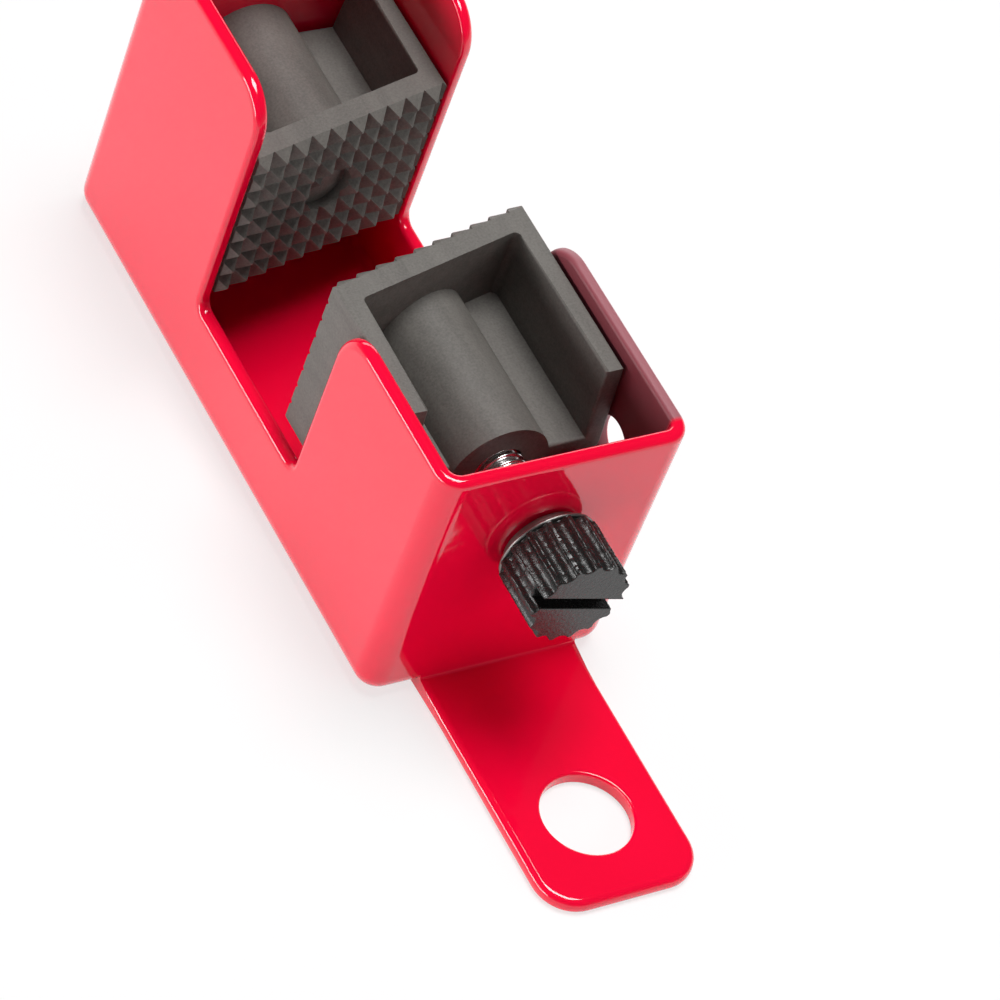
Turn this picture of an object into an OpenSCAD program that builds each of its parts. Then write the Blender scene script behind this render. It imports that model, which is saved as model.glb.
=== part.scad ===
// Clamp-on lockout for a circuit breaker toggle.
// A pressed steel box carries a fixed toothed jaw and a second one on a captive thumb screw.
// Turning the knob drives the moving jaw across the notch until it grips the toggle, and a
// padlock through the tab keeps the knob from being reached and turned back.
//
// +Y runs from the tab to the far end, +X to the right, +Z up. The part stands on Z = 0,
// with the origin under the middle of its box.

/* [Body] */
// Outer width of the pressed box
body_w = 26.5; // [22:0.5:34]
// Thickness of the steel sheet
sheet_t = 1.5; // [1:0.1:2]
// Outer radius of the pressed bends
bend_r = 2.5; // [2.25:0.25:4]
// Height of the walls round the thumb screw
near_h = 30.8; // [29.5:0.1:35]
// Height of the walls round the fixed jaw
far_h = 37; // [34:0.5:44]
// Front wall to the near edge of the notch, on the middle line
near_len = 23.4; // [21:0.1:26]
// Width of the notch along the body
notch_gap = 20.7; // [16:0.1:26]
// Height of the side strip that is left under the notch
notch_z = 9.8; // [6:0.1:10.4]
// Fillet in the bottom corners of the notch
notch_fillet = 1.2; // [0.5:0.1:2]
// Rounding of the wall tops beside the notch
crown_r = 4.5; // [2:0.25:6]
// Angle of the notch and the jaw faces, seen from above
skew = 12.5; // [0:0.5:15]

/* [Tab] */
// Width of the padlock tab
tab_w = 17; // [14:0.5:20]
// Length of the tab in front of the front wall
tab_len = 27.7; // [24:0.1:34]
// Sideways shift of the tab from the middle line
tab_shift = 1.25; // [0:0.05:1.5]
// Corner radius at the end of the tab
tab_corner_r = 4; // [2:0.25:6]
// Diameter of the padlock hole
padlock_d = 9.1; // [6:0.1:11]
// Padlock hole to the end of the tab
padlock_edge = 9.2; // [7.5:0.1:11]
// Fillet between the tab and the front wall
tab_fillet = 0.3; // [0.2:0.1:2.5]

/* [Tether hole] */
// Diameter of the tether hole in the right wall
tether_d = 5; // [3:0.1:6]
// Tether hole to the outside of the front wall
tether_y = 8.3; // [7:0.1:9]
// Height of the tether hole
tether_z = 20.7; // [18:0.1:24]

/* [Jaws] */
// Height of a jaw
jaw_h = 18.6; // [16:0.1:19]
// Depth of a jaw on the screw axis, teeth included
jaw_depth = 20.1; // [18.4:0.1:22]
// Gap between a jaw and each side wall
jaw_gap = 0.3; // [0.2:0.05:0.6]
// Thickness of the side flanges
flange_t = 2; // [1.5:0.1:2.5]
// Thickness of the toothed plate behind the teeth
plate_t = 2.2; // [1.4:0.1:3]
// Thickness of the web that joins the flanges to the boss, level with the screw
web_t = 1.8; // [1.2:0.1:3]
// Radius in the corners of a jaw's pockets, behind the toothed plate
pocket_r = 0.6; // [0.3:0.1:3]
// Diameter of the boss round the screw
boss_d = 10.4; // [9.5:0.1:12]
// Gap between a flange's end and the round bend in the far corner
bend_gap = 0.2; // [0.1:0.1:1.5]
// Draft of the flange ends, above and below the screw axis
end_draft = 5.5; // [1:0.5:8]
// Teeth across a jaw
teeth_across = 10; // [6:1:12]
// Rows of teeth
tooth_rows = 8; // [6:1:10]
// Depth of the upright grooves between teeth
tooth_h = 1.1; // [0.6:0.1:1.3]
// Depth of the level grooves between teeth
level_groove_h = 1; // [0.6:0.1:1.3]
// Width of the flat tip of a tooth
tooth_land = 0.2; // [0.1:0.05:0.6]
// Sideways shift of the teeth, which leaves part teeth along both upright edges
tooth_shift = 0.2; // [0.1:0.05:0.4]
// Diameter of the round recess in the teeth
recess_d = 5.2; // [4:0.1:6]
// Depth of the recess from the tips of the teeth
recess_depth = 1.8; // [1.4:0.1:2.2]
// Plastic between the recess and the end of the screw's bore
bore_cover = 1.4; // [1:0.1:2]
// Moving jaw to the inside of the front wall
jaw_rest = 7.6; // [7.2:0.1:9]
// Travel of the moving jaw back towards the front wall
jaw_retract = 3.9; // [2:0.1:4]
// How far the fixed teeth stand into the notch
fixed_proud = 0.6; // [0:0.1:1.5]

/* [Inserts] */
// Outer diameter of a threaded insert
insert_d = 7.4; // [6.6:0.1:8]
// Length of a threaded insert
insert_len = 8; // [6:0.5:10]
// Plastic in front of an insert
insert_cover = 1.2; // [0.8:0.1:2]
// Gap round an insert in its moulded seat
insert_gap = 0.02; // [0.01:0.01:0.04]

/* [Thumb screw] */
// Height of the screw axis
screw_z = 20; // [17:0.1:22]
// Outer diameter of the screw threads
thread_d = 5; // [4:0.1:5.2]
// Running clearance of a thread on its radius
thread_gap = 0.05; // [0.02:0.01:0.08]
// Diameter of the plain neck in the front wall
neck_d = 6; // [5.6:0.1:6.4]
// Running clearance of the neck on its radius
neck_gap = 0.05; // [0.02:0.01:0.08]
// Diameter of the collar against the front wall
collar_d = 8; // [7.5:0.1:9]
// Thickness of the collar
collar_t = 0.9; // [0.6:0.1:2]
// End play of the captive screw at each face of the wall
end_play = 0.2; // [0.1:0.05:0.4]
// Depth of the retaining ring groove
groove_depth = 0.6; // [0.4:0.05:0.8]
// Chamfer at the tip of a screw
tip_chamfer = 0.8; // [0.4:0.1:1.2]
// Screw tip to the end of its bore with the jaw drawn right back
tip_room = 0.6; // [0.3:0.1:1.5]

/* [Knob and rings] */
// Diameter over the knob's ribs
knob_d = 10.2; // [9:0.1:12]
// Length of the knob
knob_len = 6.4; // [5:0.1:8]
// Number of flutes round the knob
flutes = 15; // [10:1:18]
// Radius of a flute
flute_r = 0.95; // [0.5:0.05:1.2]
// Depth of a flute
flute_depth = 0.5; // [0.3:0.05:0.7]
// Width of the screwdriver slot
slot_w = 1.3; // [0.8:0.1:2]
// Depth of the screwdriver slot
slot_depth = 1.5; // [0.8:0.1:2]
// Turn of the slot from level
slot_angle = 18; // [0:1:90]
// Diameter of the screw's spigot in the knob
spigot_d = 6.4; // [5:0.1:7]
// Length of the spigot
spigot_len = 3.4; // [2.5:0.1:3.8]
// Diameter of the washer behind the knob
washer_d = 9.8; // [9:0.1:11]
// Thickness of every washer
washer_t = 0.4; // [0.3:0.1:1]
// Diameter of the washer inside the front wall
inner_washer_d = 10; // [9:0.1:11]
// Thickness of the retaining ring
ring_t = 0.7; // [0.5:0.1:1]
// Outer diameter of the retaining ring
ring_d = 9.4; // [8:0.1:10]
// Opening of the retaining ring
ring_mouth = 3.6; // [2.5:0.1:4.5]
// Gap round parts that are pressed or clipped on
seat_gap = 0.02; // [0.01:0.01:0.04]

/* [Fixing screw] */
// Clearance of the fixing screw's hole on its radius
fixing_gap = 0.25; // [0.15:0.05:0.4]
// Diameter of the fixing screw's head
fixing_head_d = 9; // [8:0.1:10]
// Height of the fixing screw's head
fixing_head_h = 2.6; // [2:0.1:3.2]
// Diameter of the washer under the head
fixing_washer_d = 10; // [9:0.1:12]
// Width across the flats of the hexagon socket
socket_af = 3; // [2.5:0.1:3.5]
// Depth of the hexagon socket
socket_depth = 1.6; // [1:0.1:1.9]

/* [Hidden] */

$fn = 48;
// Overlap that keeps cuts and joined shapes from sharing a face
eps = 0.1;
// Sides of the rounded posts that the pressed box is drawn over
post_sides = 32;

paint_red = [0.84, 0.02, 0.11];
jaw_grey = [0.24, 0.23, 0.22];
knob_black = [0.06, 0.06, 0.06];
bright_steel = [0.72, 0.72, 0.74];
insert_brass = [0.76, 0.60, 0.30];

// The boss stands out behind the flanges, so that their ends clear the bends beside the far wall
bend_in = bend_r - sheet_t;
bend_reach = max(0, bend_in - jaw_gap);
boss_proud = bend_in - sqrt(bend_in * bend_in - bend_reach * bend_reach) + bend_gap;

// Lengths along the body
body_len = near_len + notch_gap - fixed_proud + jaw_depth + boss_proud + sheet_t;
fixing_stack = washer_t + fixing_head_h;
front_y = tab_len - (tab_len + body_len + fixing_stack) / 2;
front_in = front_y + sheet_t;
far_y = front_y + body_len;
far_in = far_y - sheet_t;
jaw_y = front_in + jaw_rest;

// The jaws fill the box between its walls, less the gaps
inside_w = body_w - 2 * sheet_t;
jaw_w = inside_w - 2 * jaw_gap;
insert_bore_d = thread_d + 2 * thread_gap;
// End of the screw's bore, measured from the flange ends
bore_end = jaw_depth - recess_depth - bore_cover;

// Stations of the captive screw, measured from the outside of the front wall
collar_y = front_y - end_play;
knob_back = collar_y - collar_t - washer_t;
inner_washer_y = front_in + end_play;
ring_y = inner_washer_y + washer_t;
neck_end = ring_y + ring_t + 2 * groove_depth;
groove_d = neck_d - 2 * groove_depth;
screw_tip = jaw_y + bore_end - jaw_retract - tip_room;

// A cylinder along +Y that starts at the given station
module rod(d, start, len) {
    translate([0, start, screw_z]) rotate([-90, 0, 0]) cylinder(d = d, h = len);
}

// A plain washer along +Y
module ring_along_y(outer_d, inner_d, start, len) {
    difference() {
        rod(outer_d, start, len);
        rod(inner_d, start - eps, len + 2 * eps);
    }
}

// A screw's shank with a chamfered tip, pointing along +Y
module shank(d, start, len) {
    translate([0, start, screw_z]) rotate([-90, 0, 0]) {
        cylinder(d = d, h = len - tip_chamfer);
        translate([0, 0, len - tip_chamfer])
            cylinder(d1 = d, d2 = d - 2 * tip_chamfer, h = tip_chamfer);
    }
}

// A square corner piece that is hollowed to a radius: it fills an inside corner as a fillet
module fillet_2d(r) {
    difference() {
        translate([-eps, -eps]) square(r + eps);
        translate([r, r]) circle(r);
    }
}

// What is cut from an outside corner, at the origin, to round it
module corner_cut_2d(r) {
    difference() {
        translate([-r, -r]) square(r + eps);
        translate([-r, -r]) circle(r);
    }
}

// A solid block with the round bends of the pressed box, drawn over four rounded posts
module pressed_box(w, start, len, bottom, height, r) {
    hull()
        for (x = [-w / 2 + r, w / 2 - r], y = [start + r, start + len - r])
            translate([x, y, bottom])
                rotate_extrude($fn = post_sides) {
                    intersection() {
                        translate([0, r]) circle(r, $fn = post_sides);
                        square(r);
                    }
                    translate([0, r]) square([r, height - r]);
                }
}

// The box's side as seen along the skewed jaw faces: walls, notch and rounded wall tops
module side_outline() {
    near_edge = near_len * cos(skew);
    far_edge = (near_len + notch_gap) * cos(skew);
    reach = body_len + body_w;
    difference() {
        union() {
            translate([-reach, -eps]) square([reach + near_edge, near_h + eps]);
            translate([-reach, -eps]) square([2 * reach, notch_z + eps]);
            translate([far_edge, -eps]) square([reach, far_h + 2 * eps]);
            translate([near_edge, notch_z]) fillet_2d(notch_fillet);
            translate([far_edge, notch_z]) mirror([1, 0]) fillet_2d(notch_fillet);
        }
        translate([near_edge, near_h]) corner_cut_2d(crown_r);
        translate([far_edge, far_h]) mirror([1, 0]) corner_cut_2d(crown_r);
    }
}

// The side outline swept through the box along the skewed direction
module notch_keep() {
    sweep = 3 * body_w;
    translate([0, front_y, 0]) rotate([0, 0, skew]) rotate([90, 0, 90])
        translate([0, 0, -sweep / 2]) linear_extrude(sweep) side_outline();
}

// The flat tab, seen from above
module tab_outline() {
    left = tab_shift - tab_w / 2;
    tab_end = front_y - tab_len;
    difference() {
        translate([left, tab_end]) square([tab_w, tab_len + bend_r]);
        for (side = [0, 1])
            translate([left + side * tab_w, tab_end])
                mirror([1 - side, 0]) mirror([0, 1]) corner_cut_2d(tab_corner_r);
    }
}

// The tab, and the bend where the front wall runs down into it
module tab() {
    linear_extrude(sheet_t) tab_outline();
    translate([tab_shift - tab_w / 2, 0, 0]) rotate([90, 0, 90]) linear_extrude(tab_w) {
        translate([front_y, 0]) square([sheet_t, bend_r + tab_fillet]);
        translate([front_y, sheet_t]) mirror([1, 0]) fillet_2d(tab_fillet);
    }
}

module clamp_body() {
    color(paint_red)
        difference() {
            union() {
                intersection() {
                    difference() {
                        pressed_box(body_w, front_y, body_len, 0, far_h, bend_r);
                        pressed_box(inside_w, front_in, body_len - 2 * sheet_t,
                                    sheet_t, far_h, bend_in);
                    }
                    notch_keep();
                }
                tab();
            }
            rod(neck_d + 2 * neck_gap, front_y - eps, sheet_t + 2 * eps);
            rod(thread_d + 2 * fixing_gap, far_in - eps, sheet_t + 2 * eps);
            translate([tab_shift, front_y - tab_len + padlock_edge, -eps])
                cylinder(d = padlock_d, h = sheet_t + 2 * eps);
            translate([inside_w / 2 - eps, front_y + tether_y, tether_z])
                rotate([0, 90, 0]) cylinder(d = tether_d, h = sheet_t + 2 * eps);
        }
}

// V grooves side by side along X that leave flat-topped ridges between them
module groove_row(count, pitch, depth, len) {
    half = (pitch - tooth_land) / 2;
    for (i = [0 : count])
        translate([(i - count / 2) * pitch, 0, 0])
            linear_extrude(len, center = true)
                polygon([[0, -depth], [half, 0], [half, eps], [-half, eps], [-half, 0]]);
}

// Crossed grooves leave a field of pyramids on the skewed face of the jaw, round a recess
module tooth_grooves() {
    face_w = jaw_w / cos(skew);
    reach = 2 * jaw_w;
    translate([0, jaw_depth, 0]) rotate([0, 0, skew]) {
        translate([tooth_shift, 0, 0])
            groove_row(teeth_across, face_w / teeth_across, tooth_h, reach);
        rotate([0, 90, 0]) groove_row(tooth_rows, jaw_h / tooth_rows, level_groove_h, reach);
        translate([0, -recess_depth, 0]) rotate([-90, 0, 0])
            cylinder(d = recess_d, h = recess_depth + eps);
    }
}

// What is cut from the upper half of the flange ends to give them draft
module draft_cut() {
    rise = jaw_h / 2 + eps;
    rotate([90, 0, 90]) linear_extrude(2 * jaw_w, center = true)
        polygon([[0, 0], [rise * tan(end_draft), rise], [-eps, rise], [-eps, 0]]);
}

// The area of a jaw in front of a skewed line that crosses its axis at the given depth
module skew_area(depth, w) {
    rise = w / 2 * tan(skew);
    polygon([[-w / 2, 0], [w / 2, 0], [w / 2, depth + rise], [-w / 2, depth - rise]]);
}

// A pocket behind the toothed plate, open at Y = 0 and with round corners at the plate
module pocket_area(depth, w) {
    sides = [-1, 1];
    round_x = [for (side = sides) side * (w / 2 - pocket_r)];
    round_y = [for (x = round_x) depth + x * tan(skew) - pocket_r / cos(skew)];
    to_plate = pocket_r * [-sin(skew), cos(skew)];
    polygon([
        [-w / 2, -eps], [w / 2, -eps], [w / 2, round_y[1]],
        [round_x[1], round_y[1]] + to_plate, [round_x[0], round_y[0]] + to_plate,
        [-w / 2, round_y[0]]
    ]);
    for (i = [0, 1])
        translate([round_x[i], round_y[i]]) circle(pocket_r);
}

// One jaw moulding on its own axis: flange ends from Y = 0 and teeth towards +Y.
// A pocket above the web and one below it make the jaw the same both ways up.
module jaw_moulding() {
    pocket_depth = jaw_depth - tooth_h - plate_t;
    pocket_w = jaw_w - 2 * flange_t;
    boss_end = jaw_depth - tooth_h - plate_t / 2;
    difference() {
        union() {
            difference() {
                translate([0, 0, -jaw_h / 2]) linear_extrude(jaw_h) skew_area(jaw_depth, jaw_w);
                for (bottom = [web_t / 2, -web_t / 2 - jaw_h])
                    translate([0, 0, bottom]) linear_extrude(jaw_h) pocket_area(pocket_depth, pocket_w);
                tooth_grooves();
                draft_cut();
                mirror([0, 0, 1]) draft_cut();
            }
            translate([0, -boss_proud, 0]) rotate([-90, 0, 0])
                cylinder(d = boss_d, h = boss_proud + boss_end);
        }
        translate([0, -boss_proud, 0]) rotate([-90, 0, 0]) {
            translate([0, 0, -eps])
                cylinder(d = insert_bore_d + 2 * insert_gap, h = eps + boss_proud + bore_end);
            translate([0, 0, insert_cover - insert_gap])
                cylinder(d = insert_d + 2 * insert_gap, h = insert_len + 2 * insert_gap);
        }
    }
}

// A threaded insert along +Y, with a waist that locks it in the plastic
module insert(start) {
    waist_len = insert_len / 4;
    waist_d = (insert_d + insert_bore_d) / 2;
    difference() {
        rod(insert_d, start, insert_len);
        ring_along_y(insert_d + eps, waist_d, start + (insert_len - waist_len) / 2, waist_len);
        rod(insert_bore_d, start - eps, insert_len + 2 * eps);
    }
}

module moving_jaw() {
    color(jaw_grey) translate([0, jaw_y, screw_z]) jaw_moulding();
}

module moving_jaw_insert() {
    color(insert_brass) insert(jaw_y - boss_proud + insert_cover);
}

// The same moulding turned round, with its boss against the far wall
module fixed_jaw() {
    color(jaw_grey)
        translate([0, far_in - boss_proud, screw_z]) rotate([0, 0, 180]) jaw_moulding();
}

module fixed_jaw_insert() {
    color(insert_brass) insert(far_in - insert_cover - insert_len);
}

module fixing_screw() {
    head_y = far_y + washer_t;
    grip = head_y - far_in + insert_cover + insert_len;
    color(bright_steel)
        difference() {
            union() {
                translate([0, 2 * head_y, 0]) mirror([0, 1, 0]) shank(thread_d, head_y, grip);
                rod(fixing_head_d, head_y, fixing_head_h);
            }
            translate([0, head_y + fixing_head_h - socket_depth, screw_z]) rotate([-90, 0, 0])
                cylinder(d = socket_af / cos(30), h = socket_depth + eps, $fn = 6);
        }
}

module fixing_washer() {
    color(bright_steel)
        ring_along_y(fixing_washer_d, thread_d + 2 * fixing_gap, far_y, washer_t);
}

// Captive screw: spigot in the knob, collar outside the wall, grooved neck in it, then thread
module thumb_screw() {
    color(bright_steel)
        difference() {
            union() {
                rod(spigot_d, knob_back - spigot_len, spigot_len + washer_t + eps);
                rod(collar_d, collar_y - collar_t, collar_t);
                rod(neck_d, collar_y - eps, neck_end - collar_y + eps);
                shank(thread_d, neck_end - eps, screw_tip - neck_end + eps);
            }
            ring_along_y(neck_d + eps, groove_d, ring_y, ring_t + 2 * seat_gap);
        }
}

module thumb_knob() {
    flute_centre = knob_d / 2 + flute_r - flute_depth;
    color(knob_black)
        difference() {
            rod(knob_d, knob_back - knob_len, knob_len);
            for (i = [0 : flutes - 1])
                translate([0, knob_back - knob_len - eps, screw_z])
                    rotate([-90, i * 360 / flutes, 0])
                        translate([flute_centre, 0, 0]) cylinder(r = flute_r, h = knob_len + 2 * eps);
            rod(spigot_d + 2 * seat_gap, knob_back - spigot_len - seat_gap, spigot_len + seat_gap + eps);
            translate([0, knob_back - knob_len - eps, screw_z]) rotate([0, slot_angle, 0])
                translate([-knob_d / 2 - eps, 0, -slot_w / 2])
                    cube([knob_d + 2 * eps, slot_depth + eps, slot_w]);
        }
}

module knob_washer() {
    color(bright_steel) ring_along_y(washer_d, spigot_d + 2 * seat_gap, knob_back, washer_t);
}

module inner_washer() {
    color(bright_steel) ring_along_y(inner_washer_d, neck_d + 2 * neck_gap, inner_washer_y, washer_t);
}

// Open ring, clipped into the neck's groove from below
module retaining_ring() {
    color(bright_steel)
        difference() {
            ring_along_y(ring_d, groove_d + 2 * seat_gap, ring_y + seat_gap, ring_t);
            translate([-ring_mouth / 2, ring_y - eps, screw_z - ring_d])
                cube([ring_mouth, ring_t + 2 * eps, ring_d]);
        }
}

clamp_body();
moving_jaw();
moving_jaw_insert();
fixed_jaw();
fixed_jaw_insert();
fixing_screw();
fixing_washer();
thumb_screw();
thumb_knob();
knob_washer();
inner_washer();
retaining_ring();
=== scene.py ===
# %% [markdown]
# # A clamp-on lockout for a breaker's toggle
# The object is a pressed steel box with a glossy red powder coat. A black thumb screw drives a
# toothed plastic jaw across a slanted notch, towards a second jaw that stays still, and a flat tab
# takes a padlock. The solids already exist at their real size. This lesson dresses them: it rounds
# their edges, cuts a real thread and gives every surface a finish.
#
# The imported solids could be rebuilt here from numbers. They are loaded instead, because a dressed
# piece made from the solid itself can't drift away from it.

import math

import bmesh
import bpy
from mathutils import Matrix, Vector, noise


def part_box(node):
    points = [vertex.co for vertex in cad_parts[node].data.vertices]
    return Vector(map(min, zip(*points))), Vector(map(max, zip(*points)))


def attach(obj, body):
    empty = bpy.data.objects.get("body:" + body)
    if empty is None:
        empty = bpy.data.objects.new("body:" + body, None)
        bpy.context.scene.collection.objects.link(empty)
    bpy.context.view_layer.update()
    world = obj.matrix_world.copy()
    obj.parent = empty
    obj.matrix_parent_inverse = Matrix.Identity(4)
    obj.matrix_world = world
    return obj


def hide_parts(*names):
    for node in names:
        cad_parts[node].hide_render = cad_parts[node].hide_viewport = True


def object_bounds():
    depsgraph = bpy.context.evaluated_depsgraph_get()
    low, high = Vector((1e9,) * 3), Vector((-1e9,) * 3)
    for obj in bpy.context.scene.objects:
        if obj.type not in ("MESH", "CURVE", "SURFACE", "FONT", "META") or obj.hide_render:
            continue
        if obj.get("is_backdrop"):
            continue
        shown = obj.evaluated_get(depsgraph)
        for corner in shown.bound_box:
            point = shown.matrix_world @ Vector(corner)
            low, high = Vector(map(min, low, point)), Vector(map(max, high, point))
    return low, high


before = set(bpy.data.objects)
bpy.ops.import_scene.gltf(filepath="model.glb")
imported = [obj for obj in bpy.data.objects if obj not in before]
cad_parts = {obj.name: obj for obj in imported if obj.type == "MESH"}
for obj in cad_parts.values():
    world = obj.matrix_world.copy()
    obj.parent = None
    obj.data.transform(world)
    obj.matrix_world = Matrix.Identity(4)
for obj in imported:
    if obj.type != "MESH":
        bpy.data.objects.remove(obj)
cad_low, cad_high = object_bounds()
MM = 0.001
print("solids:", ", ".join(sorted(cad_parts)))
print("box in mm:", [round(side / MM, 2) for side in cad_high - cad_low])

# %% [markdown]
# ## Camera
# The photograph looks down over the left front corner with a long lens, and the camera is rolled.
# A camera could be aimed with a Track To constraint, but a roll is then awkward. Here the turn is
# written as three plain angles: round the vertical, down from level, and roll about the view.
# The distance is measured from the end of the tab, the nearest piece of the object.

# %% Set the camera
camera_left = 233.1 * MM
camera_before_tab = 199.7 * MM
camera_height = 363.9 * MM
camera_turn = math.radians(44.87)
camera_drop = math.radians(46.35)
camera_roll = math.radians(23.06)
lens_mm = 187.18
sensor_mm = 36.0

tab_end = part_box("clamp_body")[0].y
lens = bpy.data.cameras.new("lens")
lens.lens = lens_mm
lens.sensor_width = sensor_mm
lens.clip_start = 0.01
lens.clip_end = 20.0
camera = bpy.data.objects.new("camera", lens)
camera.location = (-camera_left, tab_end - camera_before_tab, camera_height)
camera.rotation_euler = (
    Matrix.Rotation(-camera_turn, 3, "Z")
    @ Matrix.Rotation(math.pi / 2 - camera_drop, 3, "X")
    @ Matrix.Rotation(camera_roll, 3, "Z")
).to_euler()
bpy.context.scene.collection.objects.link(camera)
bpy.context.scene.camera = camera
bpy.context.scene.view_settings.view_transform = "Standard"
print("camera at", [round(v / MM, 1) for v in camera.location], "mm")

# %% [markdown]
# ## Shader sums
# A finish is a small network of nodes. Wiring it by hand takes three lines a node, and the sums in
# it become hard to read. This class wraps one socket, so that `1 - mask * 0.4` in Python adds the
# Math nodes for it. Every other node comes from one method, which sets the node's own options
# first and then its sockets.

# %% A socket that can be used in sums
class Wire:
    """One output socket of a node tree. Sums written with wires add Math nodes to that tree."""

    def __init__(self, tree, socket):
        self.tree = tree
        self.socket = socket

    def node(self, kind, settings=None, sockets=None, output=0):
        """Adds a node with its own options and its sockets, and returns one of its outputs."""
        made = self.tree.nodes.new(kind)
        for name, value in (settings or {}).items():
            if name == "stops":
                ramp = made.color_ramp
                for element, (place, colour) in zip(ramp.elements, value):
                    element.position = place
                    element.color = colour
            else:
                setattr(made, name, value)
        for name, value in (sockets or {}).items():
            if isinstance(value, Wire):
                self.tree.links.new(value.socket, made.inputs[name])
            else:
                made.inputs[name].default_value = value
        return Wire(self.tree, made.outputs[output])

    def sum(self, operation, first, second):
        """Adds a Math node."""
        return self.node("ShaderNodeMath", {"operation": operation}, {0: first, 1: second})

    def __add__(self, other):
        return self.sum("ADD", self, other)

    def __radd__(self, other):
        return self.sum("ADD", other, self)

    def __sub__(self, other):
        return self.sum("SUBTRACT", self, other)

    def __rsub__(self, other):
        return self.sum("SUBTRACT", other, self)

    def __mul__(self, other):
        return self.sum("MULTIPLY", self, other)

    def __rmul__(self, other):
        return self.sum("MULTIPLY", other, self)


print("wires add nodes for +, - and *")

# %% [markdown]
# ## Floor and light
# The studio has a plain white floor. It matters more than it seems: the left wall and the right
# half of the front wall are mirrors for it, and that is what turns their red to pink. The floor is
# part plain white paint, which takes the object's soft shadow, and part a white glow that the
# camera and the reflections see, so that it reads as white without more light on the object.

# %% Make the floor
floor_half = 1.5
floor_white = (0.9, 0.9, 0.9, 1.0)
floor_glow_share = 0.7


def begin(name):
    """A new material with an empty node tree."""
    finish = bpy.data.materials.new(name)
    finish.use_nodes = True
    finish.node_tree.nodes.clear()
    return finish


def end(finish, shader):
    """Wires a shader to the material's output."""
    output = finish.node_tree.nodes.new("ShaderNodeOutputMaterial")
    finish.node_tree.links.new(shader.socket, output.inputs["Surface"])
    return finish


floor_finish = begin("studio_floor")
seen = Wire(floor_finish.node_tree, None)
rays = seen.node("ShaderNodeLightPath", output="Is Camera Ray")
ray_node = rays.socket.node
glossy = Wire(seen.tree, ray_node.outputs["Is Glossy Ray"])
through = Wire(seen.tree, ray_node.outputs["Is Transmission Ray"])
paint = seen.node("ShaderNodeBsdfDiffuse", None, {"Color": floor_white})
glow = seen.node("ShaderNodeEmission", None, {"Color": (1, 1, 1, 1), "Strength": 1.0})
watched = (rays + glossy + through) * floor_glow_share
end(floor_finish, seen.node("ShaderNodeMixShader", None, {0: watched, 1: paint, 2: glow}))

sheet = bmesh.new()
bmesh.ops.create_grid(sheet, x_segments=1, y_segments=1, size=floor_half)
floor_mesh = bpy.data.meshes.new("floor")
sheet.to_mesh(floor_mesh)
sheet.free()
floor_mesh.materials.append(floor_finish)
floor = bpy.data.objects.new("floor", floor_mesh)
bpy.context.scene.collection.objects.link(floor)
floor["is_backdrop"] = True
print("floor of", 2 * floor_half, "m")

# %% [markdown]
# A large soft lamp hangs overhead, a little behind the object and to its right, so that the tab
# fades into shadow towards the front wall and the teeth of the fixed jaw stay dark. A wide card
# glows low on the left and lights the left wall and the jaw's flank. A weaker one in front lifts
# the front wall. Reflections don't see that card, or the rim would lose the dark line along its
# round. A last card behind draws the pale line along the inner edge of the rim. The sky is dim:
# the tab would mirror a bright one and lose its pure red.

# %% Hang the lamps
middle = (cad_low + cad_high) / 2


def hang_lamp(name, place, size, power, mirrored=True):
    """A flat lamp that points at the middle of the object, in metres and watts."""
    light = bpy.data.lights.new(name, "AREA")
    light.shape = "RECTANGLE"
    light.size, light.size_y = size
    light.energy = power
    lamp = bpy.data.objects.new(name, light)
    lamp.location = place
    lamp.rotation_euler = (middle - Vector(place)).to_track_quat("-Z", "Y").to_euler()
    lamp.visible_glossy = mirrored
    bpy.context.scene.collection.objects.link(lamp)
    return lamp


lamps = [
    hang_lamp("overhead", place=(0.10, 0.10, 0.90), size=(0.45, 0.45), power=8.3),
    hang_lamp("left_card", place=(-0.85, 0.10, 0.09), size=(0.9, 0.16), power=5.0),
    hang_lamp(
        "front_card", place=(0.48, -0.77, 0.36), size=(0.8, 0.45), power=2.6, mirrored=False
    ),
    hang_lamp("back_card", place=(0.50, 0.85, 0.22), size=(0.8, 0.35), power=2.0),
]
print("lamps:", [lamp.name for lamp in lamps])

# %% Light the sky
sky_low = (0.30, 0.30, 0.31, 1.0)
sky_high = (0.055, 0.055, 0.057, 1.0)
sky_dark_from = 0.3
world = bpy.data.worlds.new("studio")
world.use_nodes = True
world.node_tree.nodes.clear()
up = Wire(world.node_tree, None).node("ShaderNodeTexCoord", output="Generated")
height = up.node("ShaderNodeSeparateXYZ", None, {0: up}, output="Z")
sky_colour = up.node(
    "ShaderNodeValToRGB",
    {"stops": [(0.0, sky_low), (sky_dark_from, sky_high)]},
    {"Fac": height},
)
sky = up.node("ShaderNodeBackground", None, {"Color": sky_colour, "Strength": 1.0})
sky_output = world.node_tree.nodes.new("ShaderNodeOutputWorld")
world.node_tree.links.new(sky.socket, sky_output.inputs["Surface"])
bpy.context.scene.world = world
print("sky from", sky_low[0], "at the horizon to", sky_high[0])

# %% [markdown]
# ## Finishes
# Each finish reads Object coordinates, which are metres in the part's own frame. A noise scale of
# 1000 therefore means about one bump a millimetre, whatever piece wears it.

# %% Helpers for finishes
def coordinates(finish):
    """A wire that carries the place on the piece."""
    return Wire(finish.node_tree, None).node("ShaderNodeTexCoord", output="Object")


def grain(place, scale, detail=2.0, roughness=0.5):
    """Noise with the given number of bumps a metre, from 0 to 1."""
    sockets = {"Vector": place, "Scale": scale, "Detail": detail, "Roughness": roughness}
    return place.node("ShaderNodeTexNoise", None, sockets, output=0)


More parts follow.
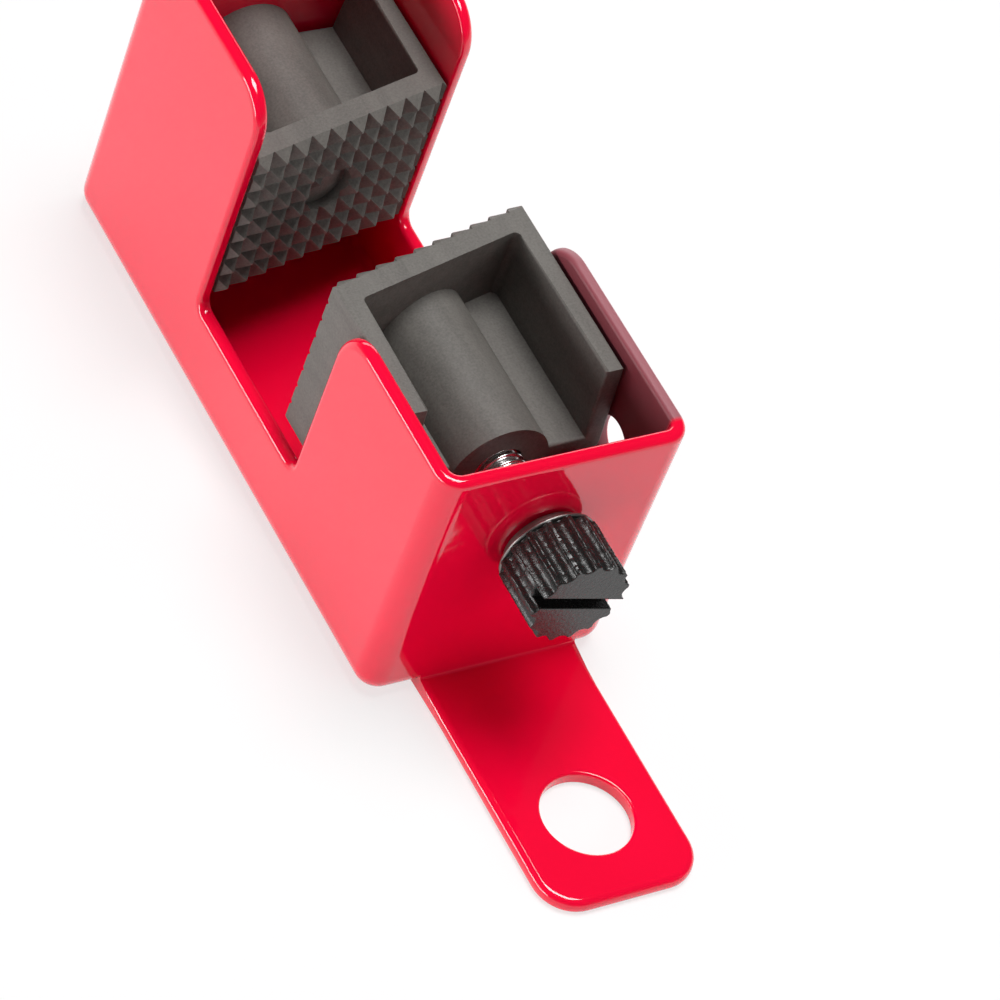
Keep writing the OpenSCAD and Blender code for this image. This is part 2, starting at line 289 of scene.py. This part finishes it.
# The Mix node's colour sockets share their names with others, so they go by number.
MIX_AMOUNT, MIX_FIRST, MIX_SECOND, MIX_RESULT = 0, 6, 7, 2


def blend(place, amount, first, second):
    """Two colours mixed by a mask."""
    sockets = {MIX_AMOUNT: amount, MIX_FIRST: first, MIX_SECOND: second}
    return place.node("ShaderNodeMix", {"data_type": "RGBA"}, sockets, MIX_RESULT)


def between(value, low, high, soft):
    """A mask that is 1 where a value lies between two limits, with soft ends."""
    rise = {"Value": value, "From Min": low - soft, "From Max": low + soft}
    fall = {"Value": value, "From Min": high + soft, "From Max": high - soft}
    rising = value.node("ShaderNodeMapRange", None, rise)
    return rising * value.node("ShaderNodeMapRange", None, fall)


def relief(place, height, strength, depth):
    """A bumpy normal from a height."""
    sockets = {"Height": height, "Strength": strength, "Distance": depth}
    return place.node("ShaderNodeBump", None, sockets)


def surface(finish, place, constant, **varying):
    """The main shader: constants are set on their sockets, and what varies is wired in."""
    sockets = dict(constant)
    sockets.update({name.replace("_", " "): wire for name, wire in varying.items()})
    return end(finish, place.node("ShaderNodeBsdfPrincipled", None, sockets))


print("finish helpers ready")

# %% [markdown]
# ### Red powder coat
# Powder coat melts into a thick glossy skin with a faint orange peel. A car-paint shader would add
# flakes that this coat hasn't got, so a plain glossy surface with a thin clear coat does it. The
# colour drifts a little, as the coat is thicker in some places than in others. The right wall of
# the near box, beside the jaw, lies in the jaw's shade, and that shade is painted into its colour:
# a darker greyish red that also stands in for a dull grey reflection, darkest on the inner face.
# There the surface is dull, without a clear coat. That patch is a mask made of three ranges.

# %% Mix the powder coat
coat_red = (0.92, 0.0010, 0.040, 1.0)
coat_deep_red = (0.84, 0.0007, 0.030, 1.0)
# Painted shade: darker greyish reds for the shaded right wall beside the jaw, darkest on its inner
# face.
painted_shade_rim = (0.335, 0.106, 0.127, 1.0)
painted_shade_inside = (0.22, 0.035, 0.050, 1.0)
painted_shade_across = (11.6 * MM, 13.1 * MM)
painted_shade_lengthwise = (-18.2 * MM, 8.0 * MM)
painted_shade_upright = (11.0 * MM, 40.0 * MM)
lighter_rim_across = (12.05 * MM, 14.0 * MM)
clear_coat = 0.35

powder_coat = begin("red_powder_coat")
place = coordinates(powder_coat)
across = place.node("ShaderNodeSeparateXYZ", None, {0: place}, output="X")
axes = across.socket.node.outputs
lengthwise = Wire(powder_coat.node_tree, axes["Y"])
upright = Wire(powder_coat.node_tree, axes["Z"])
# Painted shade: this mask marks the right wall beside the jaw, where shade is painted into the
# colour.
painted_shade_mask = (
    between(across, *painted_shade_across, soft=0.12 * MM)
    * between(lengthwise, *painted_shade_lengthwise, soft=0.3 * MM)
    * between(upright, *painted_shade_upright, soft=1.0 * MM)
)
# The rim is painted a little lighter than the inner face, which lies deeper in the painted shade.
lighter_rim_mask = between(across, *lighter_rim_across, soft=0.25 * MM)
painted_shade_colour = blend(place, lighter_rim_mask, painted_shade_inside, painted_shade_rim)
drift = grain(place, scale=90.0, detail=1.0)
peel = grain(place, scale=650.0, detail=1.5)
dust = grain(place, scale=5200.0)
surface(
    powder_coat,
    place,
    {"IOR": 1.55, "Coat Roughness": 0.03},
    # Painted shade and a painted dull grey reflection on the right wall beside the jaw.
    Base_Color=blend(place, painted_shade_mask, blend(place, drift, coat_deep_red, coat_red), painted_shade_colour),
    Roughness=0.06 + dust * 0.04 + painted_shade_mask * 0.4,
    Coat_Weight=(1 - painted_shade_mask) * clear_coat,
    Normal=relief(place, peel + dust * 0.05, strength=0.05, depth=0.4 * MM),
)
print(powder_coat.name)

# %% [markdown]
# ### Jaw plastic
# The jaws are glass-filled nylon: dark warm grey, matt, with a fine grain and pale flecks where
# fibres lie at the surface. Flow streaks run along the screw, so one noise is stretched that way.

# %% Mix the jaw plastic
jaw_dark = (0.087, 0.081, 0.073, 1.0)
jaw_pale = (0.172, 0.160, 0.145, 1.0)
flow_stretch = (1.0, 0.2, 1.0)

jaw_plastic = begin("jaw_plastic")
place = coordinates(jaw_plastic)
streaked = place.node("ShaderNodeMapping", None, {"Vector": place, "Scale": flow_stretch})
streaks = grain(streaked, scale=700.0, detail=3.0)
flecks = grain(place, scale=4200.0, roughness=0.6)
fibres = grain(place, scale=1500.0, detail=3.0)
surface(
    jaw_plastic,
    place,
    {"IOR": 1.5, "Specular IOR Level": 0.45},
    Base_Color=blend(place, streaks * 0.8 + flecks * 1.2 - 0.5, jaw_dark, jaw_pale),
    Roughness=0.48 + fibres * 0.2,
    Normal=relief(place, flecks + fibres * 0.3, strength=0.16, depth=0.06 * MM),
)
print(jaw_plastic.name)

# %% [markdown]
# ### Knob black
# The knob is black and coarse, like a cast part with a thin coat of paint. Small glints show on
# its ribs, so the paint is fairly glossy and a fine bump breaks up its reflections.

# %% Mix the knob's black
knob_black_low = (0.003, 0.003, 0.003, 1.0)
knob_black_high = (0.014, 0.014, 0.013, 1.0)

knob_black = begin("knob_black")
place = coordinates(knob_black)
lumps = grain(place, scale=2600.0, detail=3.0, roughness=0.6)
specks = grain(place, scale=7000.0)
surface(
    knob_black,
    place,
    {"IOR": 1.5, "Specular IOR Level": 0.5},
    Base_Color=blend(place, lumps, knob_black_low, knob_black_high),
    Roughness=0.22 + specks * 0.12,
    Normal=relief(place, lumps + specks * 0.4, strength=0.35, depth=0.08 * MM),
)
print(knob_black.name)

# %% [markdown]
# ### Bright steel and brass
# The screws, washers and ring are zinc-plated steel, and the inserts are brass. Both are turned on
# a lathe, which leaves fine rings round the axis. The axis lies along Y, so a noise that is
# squeezed along Y and stretched across it gives those rings. The washer and the collar behind the
# knob lie in its shade, and that shade is painted in: a mask along Y makes the steel dark and dull.

# %% Mix the metals
# Painted shade: steel between these stations, behind the knob, is darkened in place of its shade.
shade_behind_knob_from = -22.2 * MM
shade_behind_knob_to = -20.4 * MM
steel_in_painted_shade = (0.26, 0.25, 0.24, 1.0)
ring_stretch = (0.15, 3.0, 0.15)


def turned_metal(name, dark, light, rough):
    """A metal with fine rings round the screw's axis."""
    finish = begin(name)
    spot = coordinates(finish)
    station = spot.node("ShaderNodeSeparateXYZ", None, {0: spot}, output="Y")
    # Painted shade behind the knob: the steel there is made dark and dull.
    painted_shade_behind_knob = between(station, shade_behind_knob_from, shade_behind_knob_to, soft=0.05 * MM)
    squeezed = spot.node("ShaderNodeMapping", None, {"Vector": spot, "Scale": ring_stretch})
    rings = grain(squeezed, scale=2500.0)
    haze = grain(spot, scale=900.0, detail=3.0)
    return surface(
        finish,
        spot,
        {"Metallic": 1.0},
        Base_Color=blend(spot, painted_shade_behind_knob, blend(spot, haze, dark, light), steel_in_painted_shade),
        Roughness=rough + haze * 0.15 + painted_shade_behind_knob * 0.2,
        Normal=relief(spot, rings, strength=0.03, depth=0.03 * MM),
    )


bright_steel = turned_metal(
    "bright_steel", dark=(0.76, 0.76, 0.75, 1.0), light=(0.92, 0.92, 0.91, 1.0), rough=0.14
)
insert_brass = turned_metal(
    "insert_brass", dark=(0.56, 0.38, 0.13, 1.0), light=(0.76, 0.56, 0.24, 1.0), rough=0.22
)
print(bright_steel.name, "and", insert_brass.name)

# %% [markdown]
# ## Rounded pieces
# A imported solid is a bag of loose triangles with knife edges. Real edges are rounded, and it is
# the rounding that catches the light. A Bevel modifier could do it, but it rounds everything by
# one radius. Here a copy is merged, its flat faces are dissolved into single faces, and the edges
# to round are chosen by their angle and length, so that each kind gets its own radius.

# %% Helpers for pieces
WELD = 1e-6
FLAT = math.radians(0.5)
CREASE = math.radians(32)


def merged_copy(node):
    """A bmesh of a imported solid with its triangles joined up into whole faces."""
    shape = bmesh.new()
    shape.from_mesh(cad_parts[node].data)
    bmesh.ops.remove_doubles(shape, verts=shape.verts, dist=WELD)
    bmesh.ops.dissolve_limit(shape, angle_limit=FLAT, verts=shape.verts, edges=shape.edges)
    return shape


def corners(shape, angle):
    """Edges that stand out, where two faces meet at more than the angle in degrees."""
    limit = math.radians(angle)
    doubles = (e for e in shape.edges if len(e.link_faces) == 2 and e.is_convex)
    return [e for e in doubles if e.calc_face_angle() > limit]


def round_over(shape, edges, radius, segments):
    """Bevels the edges to a round of the given radius."""
    bmesh.ops.bevel(
        shape, geom=edges, offset=radius, offset_type="OFFSET", affect="EDGES",
        segments=segments, profile=0.5, clamp_overlap=False, material=-1,
    )


def shade(shape):
    """Shades faces as one curve, except across edges that are sharper than the crease."""
    shape.normal_update()
    for face in shape.faces:
        face.smooth = True
    for edge in shape.edges:
        edge.smooth = len(edge.link_faces) == 2 and edge.calc_face_angle() < CREASE


def add_piece(name, shape, body, finish, stands_for):
    """Makes an object of a bmesh, lets it ride on a body and hides the solid it stands for."""
    shade(shape)
    mesh = bpy.data.meshes.new(name)
    shape.to_mesh(mesh)
    shape.free()
    mesh.materials.append(finish)
    made = bpy.data.objects.new(name, mesh)
    bpy.context.scene.collection.objects.link(made)
    even = made.modifiers.new("even_shading", "WEIGHTED_NORMAL")
    even.keep_sharp = True
    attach(made, body)
    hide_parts(stands_for)
    print(name, "rides on", body, "with", len(mesh.polygons), "faces")
    return made


print("edges stay sharp above", round(math.degrees(CREASE)), "degrees")

# %% [markdown]
# ### Pressed body
# The body is one sheet of steel, pressed into a box with a notch across it. The press draws the
# outer edge of the sheet down, and the coat flows over it, so the outside gets a large round and
# the inside a small one. The two kinds are told apart by which way their faces look.
#
# A face with a hole in it needs two edges that tie the hole to the outline, and merging leaves
# them where they spoil the corners of the rim. So the body is first cut level with the holes in
# its walls, and across the tab through the padlock hole. Then those two edges can go. One more cut
# lets the tab's round fade out just before the small fillet at the front wall.

# %% Sizes of the body
outer_round = 0.75 * MM
inner_round = 0.5 * MM
hole_round = 0.3 * MM
rim_steps = 4
half_sheet = 0.75 * MM
tab_length = 27.7 * MM
tab_shift = 1.25 * MM
tab_fillet = 0.3 * MM
fade_out = 5.0 * MM
front_wall = tab_end + tab_length
far_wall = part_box("clamp_body")[1].y
box_middle = (front_wall + far_wall) / 2
screw_height = 20 * MM
print("walls at", round(front_wall / MM, 2), "and", round(far_wall / MM, 2), "mm")

# %% Tell the edges apart
facing = 0.5
padlock_to_end = 9.2 * MM
padlock_radius = 4.55 * MM
neck_radius_in_wall = 3.05 * MM
fixing_radius = 2.75 * MM
tether_radius = 2.5 * MM
tether_behind_wall = 8.3 * MM
tether_height = 20.7 * MM

padlock_hole = Vector((tab_shift, tab_end + padlock_to_end, half_sheet))
neck_hole = Vector((0, front_wall + half_sheet, screw_height))
fixing_hole = Vector((0, far_wall - half_sheet, screw_height))
tether_hole = Vector((cad_high.x - half_sheet, front_wall + tether_behind_wall, tether_height))
holes = [
    (padlock_hole, padlock_radius),
    (neck_hole, neck_radius_in_wall),
    (fixing_hole, fixing_radius),
    (tether_hole, tether_radius),
]


def flat_edges(shape):
    """Edges between two faces of one plane."""
    return [e for e in shape.edges if len(e.link_faces) == 2 and e.calc_face_angle() < FLAT]


def cut_through(shape, spot, normal):
    """Cuts the faces of a shape along a plane and returns the edges in the cut."""
    everything = shape.verts[:] + shape.edges[:] + shape.faces[:]
    made = bmesh.ops.bisect_plane(
        shape, geom=everything, dist=WELD, plane_co=spot, plane_no=normal,
    )
    return [part for part in made["geom_cut"] if isinstance(part, bmesh.types.BMEdge)]


def edge_middle(edge):
    """The point half way along an edge."""
    return (edge.verts[0].co + edge.verts[1].co) / 2


def at_hole(edge):
    """True for an edge on the rim of a hole."""
    spot = edge_middle(edge)
    return any((spot - centre).length < radius + hole_round for centre, radius in holes)


def in_fillet(edge):
    """True for the ends of the fillet between the tab and the front wall, which stay sharp."""
    spot = edge_middle(edge)
    return front_wall - tab_fillet < spot.y < front_wall and spot.z < 2 * half_sheet + tab_fillet


def looks_out(edge):
    """True for an edge on the outside of the box or on top of the tab."""
    spot = edge_middle(edge)
    normals = [face.normal for face in edge.link_faces]
    if spot.y < front_wall:
        return any(normal.z > facing for normal in normals)
    right = math.copysign(1, spot.x)
    back = math.copysign(1, spot.y - box_middle)
    return any(normal.x * right + normal.y * back > facing for normal in normals)


def rim_corners(shape, angle):
    """Edges that stand out, apart from the rims of holes and the ends of the fillet."""
    return [edge for edge in corners(shape, angle) if not at_hole(edge) and not in_fillet(edge)]


print("holes:", len(holes))

# %% Round the body
rim_angle = 35
square_angle = 60

body_shape = merged_copy("clamp_body")
kept = cut_through(body_shape, (0, 0, screw_height), (0, 0, 1))
kept += cut_through(body_shape, padlock_hole, (0, 1, 0))
kept += cut_through(body_shape, (0, front_wall - fade_out, 0), (0, 1, 0))
stray = [edge for edge in flat_edges(body_shape) if edge not in kept]
bmesh.ops.dissolve_edges(body_shape, edges=stray, use_verts=False, use_face_split=False)
print("stray edges removed:", len(stray))

hole_edges = [edge for edge in corners(body_shape, rim_angle) if at_hole(edge)]
round_over(body_shape, hole_edges, hole_round, rim_steps)
outer_edges = [edge for edge in rim_corners(body_shape, rim_angle) if looks_out(edge)]
round_over(body_shape, outer_edges, outer_round, rim_steps)
round_over(body_shape, rim_corners(body_shape, square_angle), inner_round, rim_steps)
add_piece("pressed_body", body_shape, "body", powder_coat, "clamp_body")

# %% [markdown]
# ### Jaws
# Both jaws come from one mould: two flanges, a web, a boss for the screw and a toothed face. The
# long edges of a moulding are a little rounder than the tips of its teeth.

# %% Round the jaws
jaw_edge_round = 0.3 * MM
jaw_angle = 50
long_edge = 3.0 * MM

for name, body in (("moving_jaw", "jaw"), ("fixed_jaw", "body")):
    jaw_shape = merged_copy(name)
    longer = [e for e in corners(jaw_shape, jaw_angle) if e.calc_length() > long_edge]
    round_over(jaw_shape, longer, jaw_edge_round, segments=3)
    add_piece(name + "_moulding", jaw_shape, body, jaw_plastic, name)

# %% [markdown]
# ### Thumb screw
# The screw is turned from bar: a spigot in the knob, a collar against the front wall, a grooved
# neck in it and a threaded shank. The plain parts are one outline that is spun round the axis. The
# thread is a ridge that is spun and moved along at the same time, by one pitch a turn. A rolled
# thread has round crests, so the ridge's outline is curved there.

# %% Turn the thumb screw
thread_radius = 2.5 * MM
thread_root = 2.05 * MM
thread_pitch = 0.8 * MM
spigot_radius = 3.2 * MM
collar_radius = 4.0 * MM
collar_length = 0.9 * MM
neck_radius = 3.0 * MM
groove_radius = 2.4 * MM
neck_land = 1.2 * MM
tip_chamfer = 0.8 * MM
screw_round = 0.08 * MM
turned_angle = 50
spin_steps = 48

screw_low, screw_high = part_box("thumb_screw")
axis_z = (screw_low.z + screw_high.z) / 2
axis_point = Vector((0, 0, axis_z))
along = Vector((0, 1, 0))


def lathe(outline):
    """A closed solid of revolution about the screw's axis, from pairs of station and radius."""
    shape = bmesh.new()
    rim = [shape.verts.new((radius, station, axis_z)) for station, radius in outline]
    edges = [shape.edges.new(pair) for pair in zip(rim, rim[1:])]
    bmesh.ops.spin(
        shape, geom=rim + edges, cent=axis_point, axis=along,
        angle=2 * math.pi, steps=spin_steps, use_merge=True,
    )
    bmesh.ops.remove_doubles(shape, verts=shape.verts, dist=WELD)
    bmesh.ops.recalc_face_normals(shape, faces=shape.faces)
    return shape


collar_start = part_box("knob_washer")[1].y
ring_low, ring_high = (corner.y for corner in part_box("retaining_ring"))
neck_end = ring_high + neck_land
screw_outline = [
    (screw_low.y, 0.0),
    (screw_low.y, spigot_radius),
    (collar_start, spigot_radius),
    (collar_start, collar_radius),
    (collar_start + collar_length, collar_radius),
    (collar_start + collar_length, neck_radius),
    (ring_low, neck_radius),
    (ring_low, groove_radius),
    (ring_high, groove_radius),
    (ring_high, neck_radius),
    (neck_end, neck_radius),
    (neck_end, thread_root),
    (screw_high.y - tip_chamfer / 2, thread_root),
    (screw_high.y, thread_radius - tip_chamfer),
    (screw_high.y, 0.0),
]
screw_shape = lathe(screw_outline)
round_over(screw_shape, corners(screw_shape, turned_angle), screw_round, segments=2)
print("screw from", round(screw_low.y / MM, 2), "to", round(screw_high.y / MM, 2), "mm")

# %% Cut the thread
root_half = 0.37 * MM
# Distance from the axis, and half the width of the ridge there.
half_ridge = [
    (1.95 * MM, root_half), (2.25 * MM, 0.23 * MM), (2.42 * MM, 0.13 * MM),
    (2.48 * MM, 0.07 * MM), (thread_radius, 0.02 * MM),
]
ridge = [(radius, -shift) for radius, shift in half_ridge] + half_ridge[::-1]


def add_thread(shape, start, stop):
    """Adds a right-hand ridge with its own end faces, from one station to another."""
    turns = (stop - start - 2 * root_half) / thread_pitch
    steps = int(turns * spin_steps)
    first = start + root_half
    section = [shape.verts.new((radius, first + shift, axis_z)) for radius, shift in ridge]
    face = shape.faces.new(section)
    bmesh.ops.spin(
        shape, geom=[face] + list(face.edges) + section, cent=axis_point, axis=along,
        dvec=along * thread_pitch / spin_steps, angle=steps * 2 * math.pi / spin_steps, steps=steps,
    )
    bmesh.ops.recalc_face_normals(shape, faces=shape.faces)
    return turns


turns = add_thread(screw_shape, neck_end, screw_high.y - tip_chamfer)
add_piece("threaded_screw", screw_shape, "screw", bright_steel, "thumb_screw")
print("thread of", round(turns, 1), "turns")

# %% [markdown]
# ### Knob
# The knob is fluted so that fingers can grip it, and slotted for a screwdriver. It is a rough
# casting, and its ribs are stepped like ladders. A bump map would leave the outline smooth, so the
# solid is sliced into thin rows and the corners of the rows are sunk by a noise. They only go
# inwards: the knob keeps its size.

# %% Roughen the knob
knob_round = 0.12 * MM
knob_angle = 30
knob_rows = 30
rung_depth = 0.09 * MM
rough_depth = 0.06 * MM
rough_scale = 2.3 / MM
smooth_core = 4.0 * MM

knob_shape = merged_copy("thumb_knob")
round_over(knob_shape, corners(knob_shape, knob_angle), knob_round, segments=2)
knob_low, knob_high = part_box("thumb_knob")
row_length = (knob_high.y - knob_low.y) / knob_rows
for row in range(1, knob_rows):
    cut_through(knob_shape, (0, knob_low.y + row * row_length, 0), along)
for vertex in knob_shape.verts:
    outward = Vector((vertex.co.x, 0, vertex.co.z - axis_z))
    if outward.length > smooth_core:
        rung = round((vertex.co.y - knob_low.y) / row_length) % 2
        share = 0.5 + 0.5 * noise.noise(vertex.co * rough_scale)
        vertex.co -= outward.normalized() * (rung * rung_depth + rough_depth) * share
add_piece("fluted_knob", knob_shape, "screw", knob_black, "thumb_knob")

# %% [markdown]
# ### Washers, ring and fixing screw
# These small turned and stamped pieces only need their corners broken, so one loop does them all.

# %% Round the small metal pieces
broken_edge = 0.1 * MM
full_edge = 0.18 * MM
small_angle = 40
small_pieces = [
    ("knob_washer", "screw", full_edge),
    ("inner_washer", "screw", broken_edge),
    ("retaining_ring", "screw", broken_edge),
    ("fixing_washer", "body", broken_edge),
    ("fixing_screw", "body", broken_edge),
]
for name, body, radius in small_pieces:
    small_shape = merged_copy(name)
    round_over(small_shape, corners(small_shape, small_angle), radius, segments=3)
    add_piece(name + "_bright", small_shape, body, bright_steel, name)

# %% [markdown]
# ### Inserts
# The brass inserts sit inside the bosses, where only a sliver shows round the thread. Their solids
# are right as they are, so they only change their finish.

# %% Finish the inserts
for name in ("moving_jaw_insert", "fixed_jaw_insert"):
    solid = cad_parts[name]
    solid.data.materials.clear()
    solid.data.materials.append(insert_brass)
    print(name, "in brass")

# %% [markdown]
# ## Size
# The dressed part must keep the solids' size. Its box is measured again, and its growth over the
# solids' box is printed.

# %% Measure the growth
new_low, new_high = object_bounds()
growth = (new_high - new_low) - (cad_high - cad_low)
print("grown by mm:", [round(side / MM, 3) for side in growth])
